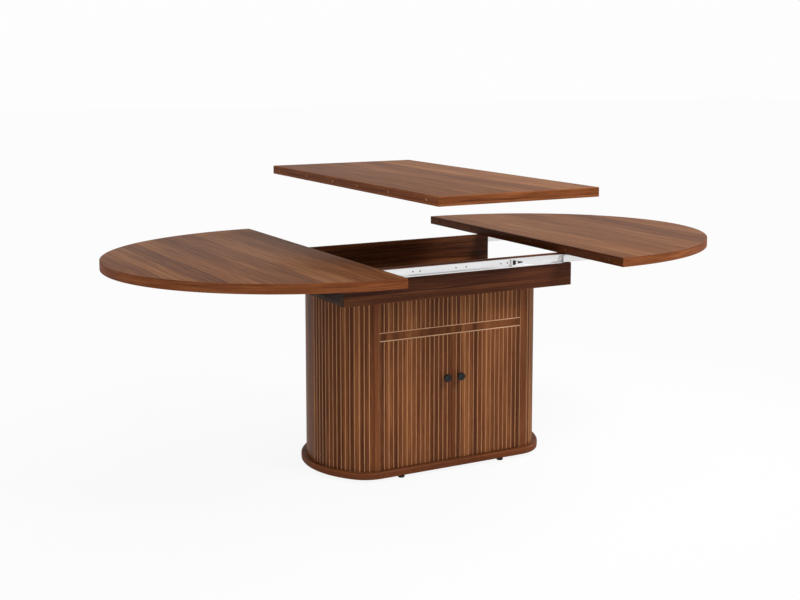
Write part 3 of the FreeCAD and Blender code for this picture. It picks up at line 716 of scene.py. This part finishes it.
easing = {"weld": 0.00001, "segments": 2, "angle": 40}
keptNodes = {  # finish, width of the softened edges
    "front_fascia": ("apronVeneer", 0.0008), "back_fascia": ("apronVeneer", 0.0008),
    "front_inner_rail": ("railVeneer", 0.0008), "back_inner_rail": ("railVeneer", 0.0008),
    "frame_floor": ("innerVeneer", 0), "cabinet_base": ("boardVeneer", 0), "cabinet_top": ("boardVeneer", 0),
    "shelf": ("boardVeneer", 0.0008), "leaf_dowels": ("dowelWood", 0), "right_top_dowels": ("dowelBrown", 0),
    "front_slide_rail": ("brightZinc", 0.0002), "back_slide_rail": ("brightZinc", 0.0002),
    "frame_bolts": ("plainSteel", 0.0004), "magnetic_catch": ("blackMould", 0.0008),
    "right_front_lever": ("blackMould", 0.0005), "right_back_lever": ("blackMould", 0.0005),
}
for sideName in ("left", "right"):
    keptNodes[f"{sideName}_door_pins"] = ("plainSteel", 0)
    keptNodes[f"{sideName}_strike_plate"] = ("plainSteel", 0.0003)
    for faceName in ("front", "back"):
        keptNodes[f"{sideName}_{faceName}_middle_slide"] = ("brightZinc", 0.0002)
        keptNodes[f"{sideName}_{faceName}_inner_slide"] = ("brightZinc", 0.0002)
        keptNodes[f"{sideName}_{faceName}_bracket"] = ("plainSteel", 0.0003)
for node, (finish, soft) in keptNodes.items():
    piece = nodes[node]
    piece.data.materials.clear()
    piece.data.materials.append(woods.get(finish) or metals[finish])
    if soft:
        weld = piece.modifiers.new("weld", "WELD")
        weld.merge_threshold = easing["weld"]
        ease = piece.modifiers.new("ease", "BEVEL")
        ease.width = soft
        ease.segments = easing["segments"]
        ease.limit_method = "ANGLE"
        ease.angle_limit = math.radians(easing["angle"])
print("finishes given to", len(keptNodes), "CAD nodes")


# slide fittings: pale ball cages, end stops and rivet caps

slideFittings = {
    "wall": 0.001, "ease": 0.0003, "easeSteps": 2,
    "cageLead": 0.015, "cageReach": 0.07, "cageThick": 0.0009, "cageInset": 0.0034,
    "ballNotch": 0.0016, "notchSteps": 8, "ballPitch": 0.01,
    "stopThick": 0.003, "stopInset": 0.0006, "stopCorner": 0.0015, "cornerSteps": 4,
    "rivetPlace": 0.016, "capGap": 0.00005, "capSegments": 24,
    "capProfile": [(0, 0), (0.0042, 0), (0.0042, 0.0005), (0.0039, 0.0008), (0.0026, 0.0009),
                   (0.002, 0.0014), (0, 0.0015)],
}


def cageOutline(left, right, bottom, top):  # a strip with round notches for the balls along both edges
    notch, pitch, steps = slideFittings["ballNotch"], slideFittings["ballPitch"], slideFittings["notchSteps"]
    angles = [math.pi * k / steps for k in range(steps + 1)]
    middles = [left + pitch * (k + 0.5) for k in range(int((right - left) / pitch))]
    points = [Vector((left, bottom))]
    for x in middles:
        points += [Vector((x - notch * math.cos(a), bottom + notch * math.sin(a))) for a in angles]
    points += [Vector((right, bottom)), Vector((right, top))]
    for x in reversed(middles):
        points += [Vector((x + notch * math.cos(a), top - notch * math.sin(a))) for a in angles]
    return points + [Vector((left, top))]


def stopOutline(left, right, bottom, top):  # a plate with rounded corners
    corner, steps = slideFittings["stopCorner"], slideFittings["cornerSteps"]
    points = []
    for x, y, start in ((right - corner, bottom + corner, -1), (right - corner, top - corner, 0),
                        (left + corner, top - corner, 1), (left + corner, bottom + corner, 2)):
        points += [Vector(polar((x, y), corner, quarter * (start + k / steps))) for k in range(steps + 1)]
    return points


def addFitting(name, builder, sideName, finishes):
    meshPiece(name, builder, finishes, f"{sideName}_runners", None)


standing = Matrix.Rotation(quarter, 4, "X")  # drawn in X and Z, thick along Y
endOn = Matrix(((0, 0, 1), (1, 0, 0), (0, 1, 0))).to_4x4()  # drawn in Y and Z, thick along X
edgeEase = slideFittings["ease"], slideFittings["easeSteps"]
paleFinishes = [metals["paleCage"], metals["paleCage"]]  # face and edge
for sideName, side in (("left", -1), ("right", 1)):
    for faceName, face in (("front", -1), ("back", 1)):
        fittingName = sideName + faceName.capitalize()
        midLow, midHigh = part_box(f"{sideName}_{faceName}_middle_slide")
        innerLow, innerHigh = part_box(f"{sideName}_{faceName}_inner_slide")
        innerEnd = innerLow.x if side > 0 else innerHigh.x
        lead, tail = side * slideFittings["cageLead"], side * slideFittings["cageReach"]
        reach = sorted((innerEnd - lead, innerEnd + tail))
        webY = (midHigh.y if face < 0 else midLow.y) + face * slideFittings["wall"]
        depth = sorted((-webY, -webY - face * slideFittings["cageThick"]))  # standing turns heights to -Y
        inset = slideFittings["cageInset"]
        builder = roundedBoard(cageOutline(*reach, midLow.z + inset, midHigh.z - inset), *depth, *edgeEase)
        builder.transform(standing)
        addFitting(f"{fittingName}BallCage", builder, sideName, paleFinishes)
        if side < 0:
            continue  # only the right half has stops and levers
        inset = slideFittings["stopInset"]
        outline = stopOutline(midLow.y + inset, midHigh.y - inset, midLow.z + inset, midHigh.z - inset)
        builder = roundedBoard(outline, midLow.x - slideFittings["stopThick"], midLow.x, *edgeEase)
        builder.transform(endOn)
        addFitting(f"{fittingName}EndStop", builder, sideName, paleFinishes)
        leverLow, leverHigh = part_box(f"{sideName}_{faceName}_lever")
        capX = midLow.x + slideFittings["rivetPlace"]
        capY = (leverLow.y if face < 0 else leverHigh.y) + face * slideFittings["capGap"]
        capPlace = Matrix.Translation((capX, capY, (leverLow.z + leverHigh.z) / 2))
        builder = turnedPiece(slideFittings["capProfile"], slideFittings["capSegments"])
        builder.transform(capPlace @ Matrix.Rotation(-face * quarter, 4, "X"))
        addFitting(f"{fittingName}RivetCap", builder, sideName, [metals["brightZinc"]])
print("slide fittings made")


# studio

studio = {
    "imageWidth": 800, "focalPixels": 1271.28, "shiftPixels": -90, "sensor": 36,  # fitted to the photograph
    "place": (-2.128, -3.7616, 1.3662), "pitch": 0.1187, "turn": 0.4979,
    "floorReach": 30, "floorTone": (242, 242, 242), "floorRough": 0.9, "floorShine": 0.0,
    "backdrop": 0.985, "fill": 0.42, "white": (1, 1, 1, 1),
    "glowLevel": 0.974, "glowNear": 0.93, "glowFar": 1.0, "nearReach": 0.8, "farReach": 2.2,
}
cameraData = bpy.data.cameras.new("photoCamera")
cameraData.lens = studio["focalPixels"] * studio["sensor"] / studio["imageWidth"]
cameraData.sensor_width = studio["sensor"]
cameraData.shift_y = studio["shiftPixels"] / studio["imageWidth"]
camera = addObject("photoCamera", cameraData)
camera.location = studio["place"]
camera.rotation_euler = (quarter - studio["pitch"], 0, -studio["turn"])
bpy.context.scene.camera = camera


def seenRays(tree):  # 1 for the rays that should meet a plain white surround
    path = addNode(tree, "ShaderNodeLightPath")
    seen = calc(tree, "MAXIMUM", path.outputs["Is Camera Ray"], path.outputs["Is Glossy Ray"])
    return calc(tree, "MAXIMUM", seen, path.outputs["Is Transmission Ray"])


far = studio["floorReach"]
floorMesh = bpy.data.meshes.new("studioFloor")
floorMesh.from_pydata([(-far, -far, 0), (far, -far, 0), (far, far, 0), (-far, far, 0)], [], [(0, 1, 2, 3)])
floor = addObject("studioFloor", floorMesh)
floorFinish, floorTree, floorShader = newFinish("paleFloor")
floorShader.inputs["Base Color"].default_value = tone(*studio["floorTone"])
floorShader.inputs["Roughness"].default_value = studio["floorRough"]
floorShader.inputs["Specular IOR Level"].default_value = studio["floorShine"]
glow = addNode(floorTree, "ShaderNodeEmission", Color=studio["white"], Strength=studio["glowLevel"])
distance = addNode(floorTree, "ShaderNodeVectorMath", operation="LENGTH")
floorTree.links.new(addNode(floorTree, "ShaderNodeTexCoord").outputs["Object"], distance.inputs[0])
glowLimits = {
    "From Min": studio["nearReach"], "From Max": studio["farReach"],
    "To Min": studio["glowNear"], "To Max": studio["glowFar"],
}
glowShare = mapped(floorTree, distance.outputs["Value"], glowLimits,
                   interpolation_type="SMOOTHSTEP")  # a faint shadow near the table, plain white beyond
blend = addNode(floorTree, "ShaderNodeMixShader")
floorTree.links.new(calc(floorTree, "MULTIPLY", seenRays(floorTree), glowShare), blend.inputs[0])
floorTree.links.new(floorShader.outputs[0], blend.inputs[1])
floorTree.links.new(glow.outputs[0], blend.inputs[2])
floorTree.links.new(blend.outputs[0], floorTree.nodes["Material Output"].inputs["Surface"])
floorMesh.materials.append(floorFinish)

world = bpy.data.worlds.new("studioWorld")
bpy.context.scene.world = world
world.use_nodes = True
sky = world.node_tree
background = sky.nodes["Background"]
background.inputs["Color"].default_value = studio["white"]
surround = calc(sky, "MULTIPLY", seenRays(sky), studio["backdrop"] - studio["fill"])
sky.links.new(calc(sky, "ADD", surround, studio["fill"]), background.inputs["Strength"])

lamps = {  # place, aim, size, watts
    "keyLamp": ((1.9, -3.7, 4.9), (0, 0, 0.4), 1.8, 262),
    "sideLamp": ((-4.4, -2.0, 2.4), (0, 0, 0.4), 2.4, 72),
    "topLamp": ((0.4, 0.4, 4.6), (0, 0, 0.7), 3.0, 6),
    "rightLamp": ((9.0, 2.2, 6.6), (0, 0, 0.7), 4.4, 900),
}
for name, (place, aim, size, watts) in lamps.items():
    data = bpy.data.lights.new(name, "AREA")
    data.energy = watts
    data.size = size
    lamp = addObject(name, data)
    lamp.location = place
    lamp.rotation_euler = (Vector(aim) - Vector(place)).to_track_quat("-Z", "Y").to_euler()
bpy.context.scene.view_settings.view_transform = "Standard"
print("studio ready")
